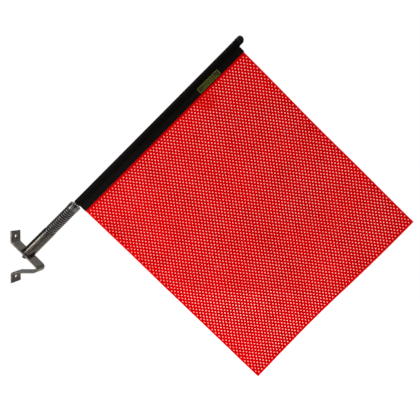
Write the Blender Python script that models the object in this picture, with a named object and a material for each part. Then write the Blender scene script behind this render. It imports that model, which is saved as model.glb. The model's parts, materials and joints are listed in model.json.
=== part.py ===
"""Spring-mounted warning flag on a bent steel wall bracket, in metres, +Z up.

The wall is the plane X = 0. The pole leans 45 degrees up and away from it, the flag hangs from the
pole in the plane Y = 0, and the origin is halfway between the bracket's two screw holes.
"""

import math

import bmesh
import bpy
from mathutils import Matrix, Vector

MM = 0.001
GAP = 0.3 * MM  # kept between pieces that touch

# Bracket: one flat steel bar, bent at three places
BAR_WIDTH = 25.4 * MM
BAR_THICKNESS = 3.2 * MM
HOLE_SPACING = 82.0 * MM
TAB_LENGTH = 22.5 * MM
SCREW_HOLE_DIAMETER = 7.0 * MM
TAB_BEND_RADIUS = 4.6 * MM  # of the bar's middle line, where each tab begins
NOSE_RADIUS = 7.4 * MM  # of the same line, where the leg turns back to the wall
POLE_ANGLE = math.radians(45.0)  # the pole's lean away from the wall

# Heights along the pole, from the bar's outer face
POLE_FOOT_ALONG_LEG = 34.0 * MM  # from the upper tab's bend to the pole's axis
HOLDER_TOP = 63.0 * MM
COLLAR_BOTTOM = 127.5 * MM
COLLAR_TOP = 138.5 * MM
POLE_BOTTOM = 142.0 * MM
FLAG_BOTTOM = 143.5 * MM
HOIST = 457.0 * MM  # 18 inches
TIP_TOP = 619.5 * MM

# Round pieces
HOLDER_TOP_RADIUS = 11.5 * MM
HOLDER_FOOT_RADIUS = 11.9 * MM
HOLDER_BORE_RADIUS = 6.0 * MM
WELD_RADIUS = 13.2 * MM
WELD_HEIGHT = 1.8 * MM
STUD_RADIUS = 4.5 * MM
STUD_END = 12.5 * MM  # how far the stud reaches below the bar's outer face
PLUG_RADIUS = 5.7 * MM  # of the parts that the spring's end coils grip
PLUG_DEPTH = 9.0 * MM
SPRING_RADIUS = 11.2 * MM
WIRE_RADIUS = 2.3 * MM
SPRING_TURNS = 12.5
COLLAR_RADIUS = 11.3 * MM
COLLAR_SHOULDER = 1.2 * MM
NECK_RADIUS = 4.7 * MM
NECK_GRIP = 35.0 * MM  # of the neck's length, inside the pole
POLE_RADIUS = 6.35 * MM
POLE_BORE_RADIUS = 5.0 * MM
PIN_RADIUS = 1.5 * MM
PIN_HEIGHT = 160.0 * MM
TIP_RADIUS = 8.2 * MM
TIP_SKIRT = 7.3 * MM  # the cap's straight part, below its dome

# Flag: a black sleeve round the pole and a red mesh panel sewn into it
SLEEVE_WIDTH = 30.0 * MM
SLEEVE_RADIUS = 7.6 * MM
SLEEVE_TAIL = 2.6 * MM  # thickness of the flat part
SLEEVE_FLAT_START = 8.8 * MM  # from the pole's axis
MESH_LENGTH = 489.0 * MM  # from the sleeve to the free edge
MESH_THICKNESS = 0.8 * MM
MESH_TUCK = 11.5 * MM  # of the mesh, inside the sleeve
SEAM_INSET = 0.7 * MM  # from the sleeve's edge to the middle of its seam
THREAD_WIDTH = 0.8 * MM
THREAD_DEPTH = 0.5 * MM
LABEL_SIZE = (12.0 * MM, 58.0 * MM)
LABEL_THICKNESS = 0.5 * MM
LABEL_BOTTOM = 478.5 * MM

ROUND_STEPS = 32
BEND_STEPS = 7

UPPER_BEND = HOLE_SPACING / 2 - TAB_LENGTH / 2
TAB_END = HOLE_SPACING / 2 + TAB_LENGTH / 2
SLEEVE_EDGE = SLEEVE_WIDTH - SLEEVE_RADIUS
LEAN_HINGE = HOLDER_TOP + 0.25 * (COLLAR_BOTTOM - HOLDER_TOP)
TILT_HINGE = HOLDER_TOP + 0.75 * (COLLAR_BOTTOM - HOLDER_TOP)


def clear_scene():
    for obj in list(bpy.data.objects):
        bpy.data.objects.remove(obj, do_unlink=True)


def material(name, colour, roughness, metallic=0.0):
    made = bpy.data.materials.new(name)
    made.use_nodes = True
    shader = made.node_tree.nodes["Principled BSDF"]
    shader.inputs["Base Color"].default_value = (*colour, 1.0)
    shader.inputs["Roughness"].default_value = roughness
    shader.inputs["Metallic"].default_value = metallic
    made.diffuse_color = (*colour, 1.0)
    return made


def empty(name, parent=None, height=0.0):
    """An axis system with its own Z along the pole, at a height above its parent."""
    made = bpy.data.objects.new(name, None)
    bpy.context.collection.objects.link(made)
    made.parent = parent
    made.location.z = height
    return made


def add_object(name, mesh_data, finish, parent=None):
    """Links a bmesh as an object, shaded smooth except at its corners."""
    bmesh.ops.recalc_face_normals(mesh_data, faces=mesh_data.faces)
    mesh = bpy.data.meshes.new(name)
    mesh_data.to_mesh(mesh)
    mesh_data.free()
    mesh.shade_smooth()
    mesh.set_sharp_from_angle(angle=math.radians(35))
    obj = bpy.data.objects.new(name, mesh)
    obj.parent = parent
    bpy.context.collection.objects.link(obj)
    if finish:
        mesh.materials.append(finish)
    return obj


def extruded(outline, start, end):
    """A solid from a flat outline of points, pushed from start to end."""
    mesh_data = bmesh.new()
    corners = [mesh_data.verts.new(point + start) for point in outline]
    face = mesh_data.faces.new(corners)
    pushed = bmesh.ops.extrude_face_region(mesh_data, geom=[face])
    moved = [item for item in pushed["geom"] if isinstance(item, bmesh.types.BMVert)]
    bmesh.ops.translate(mesh_data, verts=moved, vec=end - start)
    return mesh_data


def turned(profile, base=0.0):
    """A solid of revolution about Z from a closed outline of (radius, height) points.

    Heights are given from the bar's face, and base is the height of the object's own origin.
    """
    mesh_data = bmesh.new()
    rings = []
    for radius, height in profile:
        if radius == 0.0:
            rings.append([mesh_data.verts.new((0.0, 0.0, height - base))])
            continue
        ring = []
        for step in range(ROUND_STEPS):
            angle = 2 * math.pi * step / ROUND_STEPS
            point = (radius * math.cos(angle), radius * math.sin(angle), height - base)
            ring.append(mesh_data.verts.new(point))
        rings.append(ring)
    on_axis = len(rings[0]) == 1
    pairs = list(zip(rings, rings[1:]))
    if not on_axis:
        pairs.append((rings[-1], rings[0]))
    for low, high in pairs:
        for step in range(ROUND_STEPS):
            after = (step + 1) % ROUND_STEPS
            corners = [low[step % len(low)], low[after % len(low)]]
            corners += [high[after % len(high)], high[step % len(high)]]
            mesh_data.faces.new(list(dict.fromkeys(corners)))
    return mesh_data


def arc(centre, radius, first, last, steps):
    """Points (x, y) on an arc, with its ends, from one angle to the other in degrees."""
    points = []
    for step in range(steps + 1):
        angle = math.radians(first + (last - first) * step / steps)
        points.append((centre[0] + radius * math.cos(angle), centre[1] + radius * math.sin(angle)))
    return points


def cut(obj, cutter):
    """Subtracts a cutter, which stays in the file as a wire helper."""
    cutter.hide_render = True
    cutter.display_type = "WIRE"
    boolean = obj.modifiers.new("cut_" + cutter.name, "BOOLEAN")
    boolean.operation = "DIFFERENCE"
    boolean.object = cutter


def drill(name, obj, parent, centre, direction, radius, length):
    """Cuts a round hole through obj, about a centre given in the parent's axes."""
    mesh_data = bmesh.new()
    bmesh.ops.create_cone(
        mesh_data,
        cap_ends=True,
        segments=ROUND_STEPS,
        radius1=radius,
        radius2=radius,
        depth=length,
    )
    turn = Vector((0, 0, 1)).rotation_difference(Vector(direction))
    mesh_data.transform(Matrix.Translation(centre) @ turn.to_matrix().to_4x4())
    cut(obj, add_object(name, mesh_data, None, parent))


def rounded_path(corners, radii):
    """The middle line of the bent bar: (point, normal) pairs, with a round bend at each inner corner."""
    points = []
    for index, corner in enumerate(corners):
        if index in (0, len(corners) - 1):
            inner = corners[1] if index == 0 else corners[-2]
            along = (inner - corner).normalized() * (1 if index == 0 else -1)
            points.append((corner, Vector((along.z, 0.0, -along.x))))
            continue
        arriving = (corner - corners[index - 1]).normalized()
        leaving = (corners[index + 1] - corner).normalized()
        turn = math.atan2(arriving.cross(leaving).y, arriving.dot(leaving))
        side = 1.0 if turn > 0 else -1.0
        radius = radii[index - 1]
        start = corner - arriving * radius * math.tan(abs(turn) / 2)
        normal = Vector((arriving.z, 0.0, -arriving.x))
        centre = start + normal * side * radius
        for step in range(BEND_STEPS + 1):
            rotation = Matrix.Rotation(turn * step / BEND_STEPS, 3, "Y")
            points.append((centre + rotation @ (start - centre), rotation @ normal))
    return points


def bracket_strip(pole_frame, finish):
    half = BAR_THICKNESS / 2
    upper_z = UPPER_BEND - half * math.tan(POLE_ANGLE / 2)
    lower_z = -UPPER_BEND - half
    corners = [
        Vector((half, 0.0, TAB_END)),
        Vector((half, 0.0, upper_z)),
        Vector((half + upper_z - lower_z, 0.0, lower_z)),
        Vector((half, 0.0, lower_z)),
        Vector((half, 0.0, -TAB_END)),
    ]
    path = rounded_path(corners, (TAB_BEND_RADIUS, NOSE_RADIUS, TAB_BEND_RADIUS))
    outline = [point + normal * half for point, normal in path]
    outline += [point - normal * half for point, normal in reversed(path)]
    side = Vector((0.0, BAR_WIDTH / 2, 0.0))
    strip = add_object("bracket_strip", extruded(outline, -side, side), finish)
    for name, height in (("upper", HOLE_SPACING / 2), ("lower", -HOLE_SPACING / 2)):
        centre = Vector((half, 0.0, height))
        drill(
            name + "_screw_hole",
            strip,
            None,
            centre,
            (1, 0, 0),
            SCREW_HOLE_DIAMETER / 2,
            4 * BAR_THICKNESS,
        )
    drill(
        "stud_hole",
        strip,
        pole_frame,
        Vector((0.0, 0.0, -half)),
        (0, 0, 1),
        STUD_RADIUS + GAP,
        4 * BAR_THICKNESS,
    )


def holder_tube(pole_frame, finish):
    foot = GAP
    chamfer = 0.6 * MM
    profile = [
        (HOLDER_BORE_RADIUS, foot),
        (HOLDER_FOOT_RADIUS, foot),
        (HOLDER_TOP_RADIUS, HOLDER_TOP - chamfer),
        (HOLDER_TOP_RADIUS - chamfer, HOLDER_TOP),
        (HOLDER_BORE_RADIUS, HOLDER_TOP),
    ]
    add_object("holder_tube", turned(profile), finish, pole_frame)


def foot_weld(pole_frame, finish):
    """The bead round the holder's foot: flat below and inside, hollow outside."""
    inner = HOLDER_FOOT_RADIUS + GAP
    middle = inner + (WELD_RADIUS - inner) * 0.6
    profile = [
        (inner, GAP),
        (WELD_RADIUS, GAP),
        (WELD_RADIUS, 1.5 * GAP),
        (middle, WELD_HEIGHT * 0.6),
        (inner + 0.2 * MM, WELD_HEIGHT),
        (inner, WELD_HEIGHT),
    ]
    add_object("foot_weld", turned(profile), finish, pole_frame)


def anchor_stud(pole_frame, finish):
    """Stepped steel bar: through the bar's hole, up the holder, and into the spring's end coils."""
    round_end = 1.0 * MM
    profile = [
        (0.0, -STUD_END),
        (STUD_RADIUS - round_end, -STUD_END),
        (STUD_RADIUS, round_end - STUD_END),
        (STUD_RADIUS, GAP),
        (PLUG_RADIUS, GAP),
        (PLUG_RADIUS, HOLDER_TOP + PLUG_DEPTH - round_end),
        (PLUG_RADIUS - round_end, HOLDER_TOP + PLUG_DEPTH),
        (0.0, HOLDER_TOP + PLUG_DEPTH),
    ]
    add_object("anchor_stud", turned(profile), finish, pole_frame)


def coil_spring(spring_frame, finish):
    """A close-wound wire, swept as a ring of points along its helix."""
    steps_per_turn = 24
    ring_size = 10
    steps = round(SPRING_TURNS * steps_per_turn)
    coil_radius = SPRING_RADIUS - WIRE_RADIUS
    first = HOLDER_TOP + GAP + WIRE_RADIUS - LEAN_HINGE
    last = COLLAR_BOTTOM - GAP - WIRE_RADIUS - LEAN_HINGE
    rise = (last - first) / (2 * math.pi * SPRING_TURNS)
    mesh_data = bmesh.new()
    rings = []
    for step in range(steps + 1):
        angle = 2 * math.pi * SPRING_TURNS * step / steps
        outward = Vector((math.cos(angle), math.sin(angle), 0.0))
        along = Vector((-coil_radius * outward.y, coil_radius * outward.x, rise)).normalized()
        upward = outward.cross(along)
        centre = outward * coil_radius + Vector((0.0, 0.0, first + rise * angle))
        ring = []
        for corner in range(ring_size):
            turn = 2 * math.pi * corner / ring_size
            offset = outward * math.cos(turn) + upward * math.sin(turn)
            ring.append(mesh_data.verts.new(centre + offset * WIRE_RADIUS))
        rings.append(ring)
    for before, after in zip(rings, rings[1:]):
        for corner in range(ring_size):
            beside = (corner + 1) % ring_size
            mesh_data.faces.new((before[corner], before[beside], after[beside], after[corner]))
    mesh_data.faces.new(rings[0])
    mesh_data.faces.new(rings[-1])
    add_object("coil_spring", mesh_data, finish, spring_frame)


def top_collar(tilt_frame, finish):
    """Round collar that closes the spring's upper end, with a rounded shoulder."""
    shoulder = (COLLAR_RADIUS - COLLAR_SHOULDER, COLLAR_TOP - COLLAR_SHOULDER)
    bore = NECK_RADIUS + GAP
    profile = [(bore, COLLAR_BOTTOM), (COLLAR_RADIUS, COLLAR_BOTTOM)]
    profile += arc(shoulder, COLLAR_SHOULDER, 0, 90, BEND_STEPS)
    profile += [(bore, COLLAR_TOP)]
    add_object("top_collar", turned(profile, TILT_HINGE), finish, tilt_frame)


def neck_rod(tilt_frame, finish):
    """Steel rod from the spring's upper coils, through the collar, into the pole."""
    chamfer = 0.8 * MM
    top = POLE_BOTTOM + NECK_GRIP
    shoulder = COLLAR_BOTTOM - GAP
    profile = [
        (0.0, COLLAR_BOTTOM - PLUG_DEPTH),
        (PLUG_RADIUS - chamfer, COLLAR_BOTTOM - PLUG_DEPTH),
        (PLUG_RADIUS, COLLAR_BOTTOM - PLUG_DEPTH + chamfer),
        (PLUG_RADIUS, shoulder),
        (NECK_RADIUS, shoulder),
        (NECK_RADIUS, top - chamfer),
        (NECK_RADIUS - chamfer, top),
        (0.0, top),
    ]
    rod = add_object("neck_rod", turned(profile, TILT_HINGE), finish, tilt_frame)
    drill_for_pin("neck_pin_hole", rod, tilt_frame)


def pole_tube(tilt_frame, finish):
    top = TIP_TOP - TIP_RADIUS - GAP
    profile = [
        (POLE_BORE_RADIUS, POLE_BOTTOM),
        (POLE_RADIUS, POLE_BOTTOM),
        (POLE_RADIUS, top),
        (POLE_BORE_RADIUS, top),
    ]
    tube = add_object("pole_tube", turned(profile, TILT_HINGE), finish, tilt_frame)
    drill_for_pin("pole_pin_hole", tube, tilt_frame)


def drill_for_pin(name, obj, tilt_frame):
    centre = Vector((0.0, 0.0, PIN_HEIGHT - TILT_HINGE))
    drill(name, obj, tilt_frame, centre, (0, 1, 0), PIN_RADIUS + GAP, 4 * POLE_RADIUS)


def pole_pin(tilt_frame, finish):
    """Cross pin that holds the pole on its neck."""
    length = 2 * POLE_RADIUS - GAP
    mesh_data = bmesh.new()
    bmesh.ops.create_cone(
        mesh_data,
        cap_ends=True,
        segments=ROUND_STEPS // 2,
        radius1=PIN_RADIUS,
        radius2=PIN_RADIUS,
        depth=length,
    )
    mesh_data.transform(Matrix.Rotation(math.pi / 2, 4, "X"))
    pin = add_object("pole_pin", mesh_data, finish, tilt_frame)
    pin.location.z = PIN_HEIGHT - TILT_HINGE


def pole_tip_cap(tilt_frame, finish):
    """Domed cap pushed over the pole's top end."""
    centre = (0.0, TIP_TOP - TIP_RADIUS)
    bore = POLE_RADIUS + GAP
    skirt = TIP_TOP - TIP_RADIUS - TIP_SKIRT
    profile = [(0.0, TIP_TOP - TIP_RADIUS), (bore, TIP_TOP - TIP_RADIUS), (bore, skirt)]
    profile += [(TIP_RADIUS, skirt)]
    profile += arc(centre, TIP_RADIUS, 0, 80, 7)
    profile += [(0.0, TIP_TOP)]
    add_object("pole_tip_cap", turned(profile, TILT_HINGE), finish, tilt_frame)


def sleeve(flag_frame, finish):
    """Fabric pocket: round over the pole, then two flat plies with the mesh's edge between them."""
    half = SLEEVE_TAIL / 2
    slot = MESH_THICKNESS / 2 + GAP
    slot_start = SLEEVE_EDGE - MESH_TUCK - GAP
    shoulder = 62  # degrees round the pole at which the plies leave it
    outline = [(SLEEVE_EDGE, half), (SLEEVE_FLAT_START, half)]
    outline += arc((0.0, 0.0), SLEEVE_RADIUS, shoulder, 360 - shoulder, 30)
    outline += [(SLEEVE_FLAT_START, -half), (SLEEVE_EDGE, -half)]
    outline += [(SLEEVE_EDGE, -slot), (slot_start, -slot), (slot_start, slot), (SLEEVE_EDGE, slot)]
    points = [Vector((x, y, 0.0)) for x, y in outline]
    low = Vector((0.0, 0.0, FLAG_BOTTOM - TILT_HINGE))
    high = low + Vector((0.0, 0.0, HOIST + MM))
    made = add_object("sleeve", extruded(points, low, high), finish, flag_frame)
    middle = (low + high) / 2
    bore = POLE_RADIUS + GAP
    drill("pole_pocket", made, flag_frame, middle, (0, 0, 1), bore, 1.2 * HOIST)


def box(name, finish, parent, low, high):
    """A solid between two corners, given in its parent's axes."""
    outline = [
        Vector((low[0], low[1], 0.0)),
        Vector((high[0], low[1], 0.0)),
        Vector((high[0], high[1], 0.0)),
        Vector((low[0], high[1], 0.0)),
    ]
    start = Vector((0.0, 0.0, low[2]))
    end = Vector((0.0, 0.0, high[2]))
    return add_object(name, extruded(outline, start, end), finish, parent)


def mesh_panel(flag_frame, finish):
    low_z = FLAG_BOTTOM - TILT_HINGE
    half = MESH_THICKNESS / 2
    low = (SLEEVE_EDGE - MESH_TUCK, -half, low_z)
    high = (SLEEVE_EDGE + MESH_LENGTH, half, low_z + HOIST)
    box("mesh_panel", finish, flag_frame, low, high)


def sleeve_seams(flag_frame, finish):
    """A row of thread on each face of the sleeve, which holds the mesh in it."""
    middle = SLEEVE_EDGE - SEAM_INSET
    inner = SLEEVE_TAIL / 2 + GAP
    outer = inner + THREAD_DEPTH
    low_z = FLAG_BOTTOM - TILT_HINGE + 2 * MM
    high_z = FLAG_BOTTOM - TILT_HINGE + HOIST - 2 * MM
    for name, near, far in (("front", -outer, -inner), ("back", inner, outer)):
        low = (middle - THREAD_WIDTH / 2, near, low_z)
        high = (middle + THREAD_WIDTH / 2, far, high_z)
        box("seam_thread_" + name, finish, flag_frame, low, high)


def sleeve_label(flag_frame, finish):
    width, length = LABEL_SIZE
    outer_edge = SLEEVE_EDGE - SEAM_INSET - THREAD_WIDTH / 2 - GAP
    face = -SLEEVE_TAIL / 2 - GAP
    low_z = LABEL_BOTTOM - TILT_HINGE
    low = (outer_edge - width, face - LABEL_THICKNESS, low_z)
    high = (outer_edge, face, low_z + length)
    box("sleeve_label", finish, flag_frame, low, high)


def build():
    clear_scene()
    bracket_steel = material("bracket_steel", (0.16, 0.145, 0.13), 0.42, 1.0)
    holder_steel = material("holder_steel", (0.42, 0.39, 0.35), 0.33, 1.0)
    weld_steel = material("weld_steel", (0.10, 0.09, 0.08), 0.60, 1.0)
    spring_steel = material("spring_steel", (0.46, 0.44, 0.44), 0.30, 1.0)
    neck_steel = material("neck_steel", (0.55, 0.54, 0.50), 0.35, 1.0)
    pole_black = material("pole_black", (0.02, 0.018, 0.018), 0.45)
    cap_black = material("cap_black", (0.015, 0.015, 0.016), 0.50)
    sleeve_black = material("sleeve_black", (0.012, 0.009, 0.008), 0.80)
    mesh_red = material("mesh_red", (0.80, 0.02, 0.02), 0.55)
    thread_black = material("thread_black", (0.02, 0.018, 0.017), 0.70)
    label_olive = material("label_olive", (0.22, 0.21, 0.05), 0.60)

    leg = Vector((math.sin(POLE_ANGLE), 0.0, -math.cos(POLE_ANGLE)))
    upper_bend = Vector((BAR_THICKNESS, 0.0, UPPER_BEND))
    pole_frame = empty("pole_frame")
    pole_frame.location = upper_bend + leg * POLE_FOOT_ALONG_LEG
    pole_frame.rotation_euler = (0.0, POLE_ANGLE, 0.0)
    spring_frame = empty("spring_lean_axis", pole_frame, LEAN_HINGE)
    tilt_frame = empty("spring_tilt_axis", spring_frame, TILT_HINGE - LEAN_HINGE)
    flag_frame = empty("flag_turn_axis", tilt_frame)

    bracket_strip(pole_frame, bracket_steel)
    holder_tube(pole_frame, holder_steel)
    foot_weld(pole_frame, weld_steel)
    anchor_stud(pole_frame, holder_steel)
    coil_spring(spring_frame, spring_steel)
    top_collar(tilt_frame, spring_steel)
    neck_rod(tilt_frame, neck_steel)
    pole_tube(tilt_frame, pole_black)
    pole_pin(tilt_frame, neck_steel)
    pole_tip_cap(tilt_frame, cap_black)
    sleeve(flag_frame, sleeve_black)
    mesh_panel(flag_frame, mesh_red)
    sleeve_seams(flag_frame, thread_black)
    sleeve_label(flag_frame, label_olive)


build()
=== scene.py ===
"""Looks of the spring-mounted warning flag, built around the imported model.

Most pieces are made in the pole's own axes, in metres: X is the fly direction across the flag, Y
runs through the flag from its front to its back, and Z runs up the pole, from the foot of the flag.
"""

import json
import math
import random

import bmesh
import bpy
from mathutils import Matrix, Vector, noise


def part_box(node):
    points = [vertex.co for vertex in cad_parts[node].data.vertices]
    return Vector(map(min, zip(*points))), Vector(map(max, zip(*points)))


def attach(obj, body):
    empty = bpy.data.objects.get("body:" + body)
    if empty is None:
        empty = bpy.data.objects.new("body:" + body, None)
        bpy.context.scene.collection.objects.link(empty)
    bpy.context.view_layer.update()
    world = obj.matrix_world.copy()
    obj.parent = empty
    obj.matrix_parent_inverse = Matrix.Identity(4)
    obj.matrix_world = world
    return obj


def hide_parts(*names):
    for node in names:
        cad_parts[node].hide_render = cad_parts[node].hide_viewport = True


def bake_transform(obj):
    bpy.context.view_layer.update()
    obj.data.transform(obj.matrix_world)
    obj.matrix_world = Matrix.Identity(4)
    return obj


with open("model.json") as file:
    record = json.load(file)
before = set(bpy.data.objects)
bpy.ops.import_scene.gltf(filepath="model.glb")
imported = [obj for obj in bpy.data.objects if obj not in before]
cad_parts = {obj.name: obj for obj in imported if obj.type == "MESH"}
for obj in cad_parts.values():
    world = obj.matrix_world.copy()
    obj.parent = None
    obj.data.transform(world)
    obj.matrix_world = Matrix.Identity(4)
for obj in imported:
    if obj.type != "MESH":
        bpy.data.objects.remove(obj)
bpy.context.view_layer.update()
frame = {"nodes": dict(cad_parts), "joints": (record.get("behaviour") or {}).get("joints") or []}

MM = 0.001
UP_AXIS = Vector((0.0, 0.0, 1.0))
ROUND_STEPS = 96
CORNER_STEPS = 6

# Spring
SPRING_TURNS = 12.5
WIRE_RADIUS = 2.3 * MM
WIRE_STEPS = 44  # per turn
WIRE_SIDES = 16
GROUND_TURNS = 0.8  # of wire at each end, ground flat where it meets its seat

# Bracket: heights are above or below the wall face's middle, and bends are on the bar's middle line
BAR_THICKNESS = 3.2 * MM
SCREW_HOLE_RADIUS = 3.5 * MM
SCREW_HOLE_HEIGHT = 41.0 * MM
BEND_HEIGHT = 29.75 * MM
TAB_BEND_RADIUS = 4.6 * MM
NOSE_RADIUS = 7.4 * MM
LEG_ANGLE = math.radians(45.0)
BEND_STEPS = 14
EDGE_ROUNDING = 0.45 * MM
STUD_RADIUS = 4.5 * MM
STUD_HOLE_CLEARANCE = 0.3 * MM

# Weld bead
WELD_PUDDLES = 34
WELD_STEPS_AROUND = 340
WELD_STEPS_ACROSS = 10
WELD_HOLLOW = 0.18  # how far the bead's face sags in from a quarter circle

# Holder, collar, neck, pole and cap
HOLDER_BORE = 6.0 * MM
COLLAR_BORE = 5.0 * MM
NECK_RADIUS = 4.7 * MM
POLE_BORE = 5.0 * MM
CAP_BORE = 6.65 * MM
CAP_BEAD_HEIGHT = 1.3 * MM
CAP_DOME_RADIUS = 7.6 * MM

# Mesh cloth: rows of holes up the pole and columns along the fly, every other column half a row up
HOLE_ROWS = 58
COLUMN_SPACING = 5.16 * MM
HOLE_HALF_WIDTH = 1.12 * MM  # along the fly
HOLE_HALF_HEIGHT = 0.85 * MM  # up the pole
HOLE_CORNER_FULLNESS = 0.62  # 0.5 is a sharp diamond and 0.71 an ellipse
HOLE_JITTER = 0.12 * MM
STRAND_HALF_DEPTH = 0.40 * MM
KNOT_HALF_DEPTH = 0.48 * MM
HEM_HALF_DEPTH = 0.55 * MM
HEM_WIDTH = 0.8 * MM
PLAIN_BAND = 1.5 * MM  # between the sleeve and the net's first line of knots
PATCH_FROM_SLEEVE = 13.0 * MM  # to the middle of a more thickly coated patch
PATCH_HEIGHT = 333.0 * MM  # above the foot of the flag
PATCH_RADIUS = 27.0 * MM
RIPPLE = 2.6 * MM
DRAWN_IN = 9.0 * MM  # how far the free lower corner is pulled up

# Sleeve: two plies that run from the pole to a flat tail, which holds the net
FABRIC_THICKNESS = 0.55 * MM
TAIL_HALF_THICKNESS = 1.3 * MM
PLY_LEAVES_ROUND_AT = math.radians(58.0)
PLY_FLAT_START = 9.2 * MM
PLY_DIP = 0.55 * MM  # between the pole and the tail
TAIL_STEPS = 14
PLY_STEPS = 12
ROUND_POLE_STEPS = 44
SLEEVE_STEPS = 260
HEM_HEIGHT = 11.0 * MM
HEM_SWELL = 0.12 * MM  # where the fabric is turned in at both ends
CREASE_DEPTH = 0.10 * MM
LARGEST_SHIFT = 0.25 * MM  # of the fabric off its smooth shape
STITCH_PITCH = 3.6 * MM
STITCH_LENGTH = 2.9 * MM
STITCH_RADIUS = 0.28 * MM
STITCH_STEPS = 6
STITCH_SIDES = 6

# Label: a line round it, and rows of dashes as (place along the fly, half width, low end, high end,
# pitch, gap), all from the label's centre
LABEL_CORNER = 2.0 * MM
LABEL_LINE_INSET = 0.9 * MM
LABEL_LINE_WIDTH = 1.2 * MM
LABEL_ROW_INK = 0.6  # of the border line's
LABEL_RISE = 0.28 * MM  # from its edges to its face
LABEL_THICKNESS = 0.3 * MM
LABEL_COLUMNS = 24
LABEL_STEPS = 112
LABEL_ROWS = (
    (-1.9 * MM, 0.9 * MM, -14.5 * MM, 14.5 * MM, 5.2 * MM, 1.5 * MM),
    (1.6 * MM, 1.1 * MM, -19.5 * MM, 19.5 * MM, 4.3 * MM, 1.3 * MM),
)

# Studio
STEEL_MIDDLE = Vector((0.06, 0.0, 0.05))
FLAG_MIDDLE = Vector((0.38, 0.0, 0.1))
FLOOR_HEIGHT = -0.5


# ---- places

def pole_axes():
    """The matrix from the pole's own axes to the frame's."""
    turn = next(joint for joint in frame["joints"] if joint["name"] == "flag_turn")
    up = Vector(turn["axis"]).normalized()
    fly = Vector((up.z, 0.0, -up.x))
    through = up.cross(fly)
    rotation = Matrix((fly, through, up)).transposed().to_4x4()
    return Matrix.Translation(turn["pos_m"]) @ rotation


POLE_AXES = pole_axes()


def pole_box(node):
    """Lowest and highest corners of a CAD node, in the pole's axes."""
    to_pole = POLE_AXES.inverted()
    points = [to_pole @ vertex.co for vertex in frame["nodes"][node].data.vertices]
    low = Vector([min(point[axis] for point in points) for axis in range(3)])
    high = Vector([max(point[axis] for point in points) for axis in range(3)])
    return low, high


def eased(value, start, end):
    """0 before start, 1 after end, and a smooth step between them."""
    share = min(1.0, max(0.0, (value - start) / (end - start)))
    return share * share * (3.0 - 2.0 * share)


# ---- mesh making

def rounded(corners, steps=CORNER_STEPS):
    """A line through (x, y, radius) corners, with an arc of that radius in place of each."""
    line = []
    for index, (x, y, radius) in enumerate(corners):
        here = Vector((x, y, 0.0))
        if radius == 0.0:
            line.append(here)
            continue
        back = (Vector((*corners[index - 1][:2], 0.0)) - here).normalized()
        ahead = (Vector((*corners[(index + 1) % len(corners)][:2], 0.0)) - here).normalized()
        half_angle = back.angle(ahead) / 2
        centre = here + (back + ahead).normalized() * radius / math.sin(half_angle)
        first = here + back * radius / math.tan(half_angle) - centre
        last = here + ahead * radius / math.tan(half_angle) - centre
        line += [centre + first.slerp(last, step / steps) * radius for step in range(steps + 1)]
    return line


def add_piece(name, vertices, faces, finish, axes=POLE_AXES, sharp_angle=35.0):
    """Links a mesh as an object, shaded smooth except at its sharp corners."""
    mesh = bpy.data.meshes.new(name)
    mesh.from_pydata(vertices, [], faces)
    mesh.validate()
    shaped = bmesh.new()
    shaped.from_mesh(mesh)
    bmesh.ops.recalc_face_normals(shaped, faces=shaped.faces)
    shaped.to_mesh(mesh)
    shaped.free()
    mesh.shade_smooth()
    mesh.set_sharp_from_angle(angle=math.radians(sharp_angle))
    mesh.materials.append(finish)
    obj = bpy.data.objects.new(name, mesh)
    bpy.context.scene.collection.objects.link(obj)
    obj.matrix_world = axes
    return obj


def turned(name, corners, finish):
    """A solid of revolution about the pole from (radius, height, rounding) corners."""
    line = [(point.x, point.y) for point in rounded(corners)]
    vertices = []
    rings = []
    for radius, height in line:
        steps = 1 if radius < 1e-7 else ROUND_STEPS
        ring = []
        for step in range(steps):
            angle = 2 * math.pi * step / ROUND_STEPS
            ring.append(len(vertices))
            vertices.append((radius * math.cos(angle), radius * math.sin(angle), height))
        rings.append(ring)
    pairs = list(zip(rings, rings[1:]))
    if len(rings[0]) > 1:
        pairs.append((rings[-1], rings[0]))
    faces = []
    for low, high in pairs:
        for step in range(ROUND_STEPS):
            after = (step + 1) % ROUND_STEPS
            ring = [low[step % len(low)], low[after % len(low)]]
            ring += [high[after % len(high)], high[step % len(high)]]
            faces.append(list(dict.fromkeys(ring)))
    return add_piece(name, vertices, faces, finish)


def apply_modifiers(obj):
    """Puts what the modifiers make into the object's own mesh."""
    graph = bpy.context.evaluated_depsgraph_get()
    mesh = bpy.data.meshes.new_from_object(obj.evaluated_get(graph))
    obj.modifiers.clear()
    obj.data = mesh


# ---- materials

def add_node(tree, kind, inputs=None, **settings):
    """A shader node, with its settings, and with values or links for its inputs."""
    made = tree.nodes.new("ShaderNode" + kind)
    for key, value in settings.items():
        setattr(made, key, value)
    for key, value in (inputs or {}).items():
        if isinstance(value, bpy.types.NodeSocket):
            tree.links.new(value, made.inputs[key])
        else:
            made.inputs[key].default_value = value
    return made


def new_material(name, sockets):
    """A Principled material. Returns (material, tree, shader, object coordinates)."""
    made = bpy.data.materials.new(name)
    made.use_nodes = True
    tree = made.node_tree
    shader = tree.nodes["Principled BSDF"]
    for key, value in sockets.items():
        shader.inputs[key].default_value = value
    place = add_node(tree, "TexCoord").outputs["Object"]
    return made, tree, shader, place


def stretched(tree, place, scale):
    """Object coordinates, scaled by axis."""
    return add_node(tree, "Mapping", {"Vector": place, "Scale": scale}).outputs["Vector"]


def noise_value(tree, place, size, detail=3.0, roughness=0.5):
    """Noise from 0 to 1, with features of about that size in metres."""
    inputs = {"Vector": place, "Scale": 1.0 / size, "Detail": detail, "Roughness": roughness}
    return add_node(tree, "TexNoise", inputs).outputs["Fac"]


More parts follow.
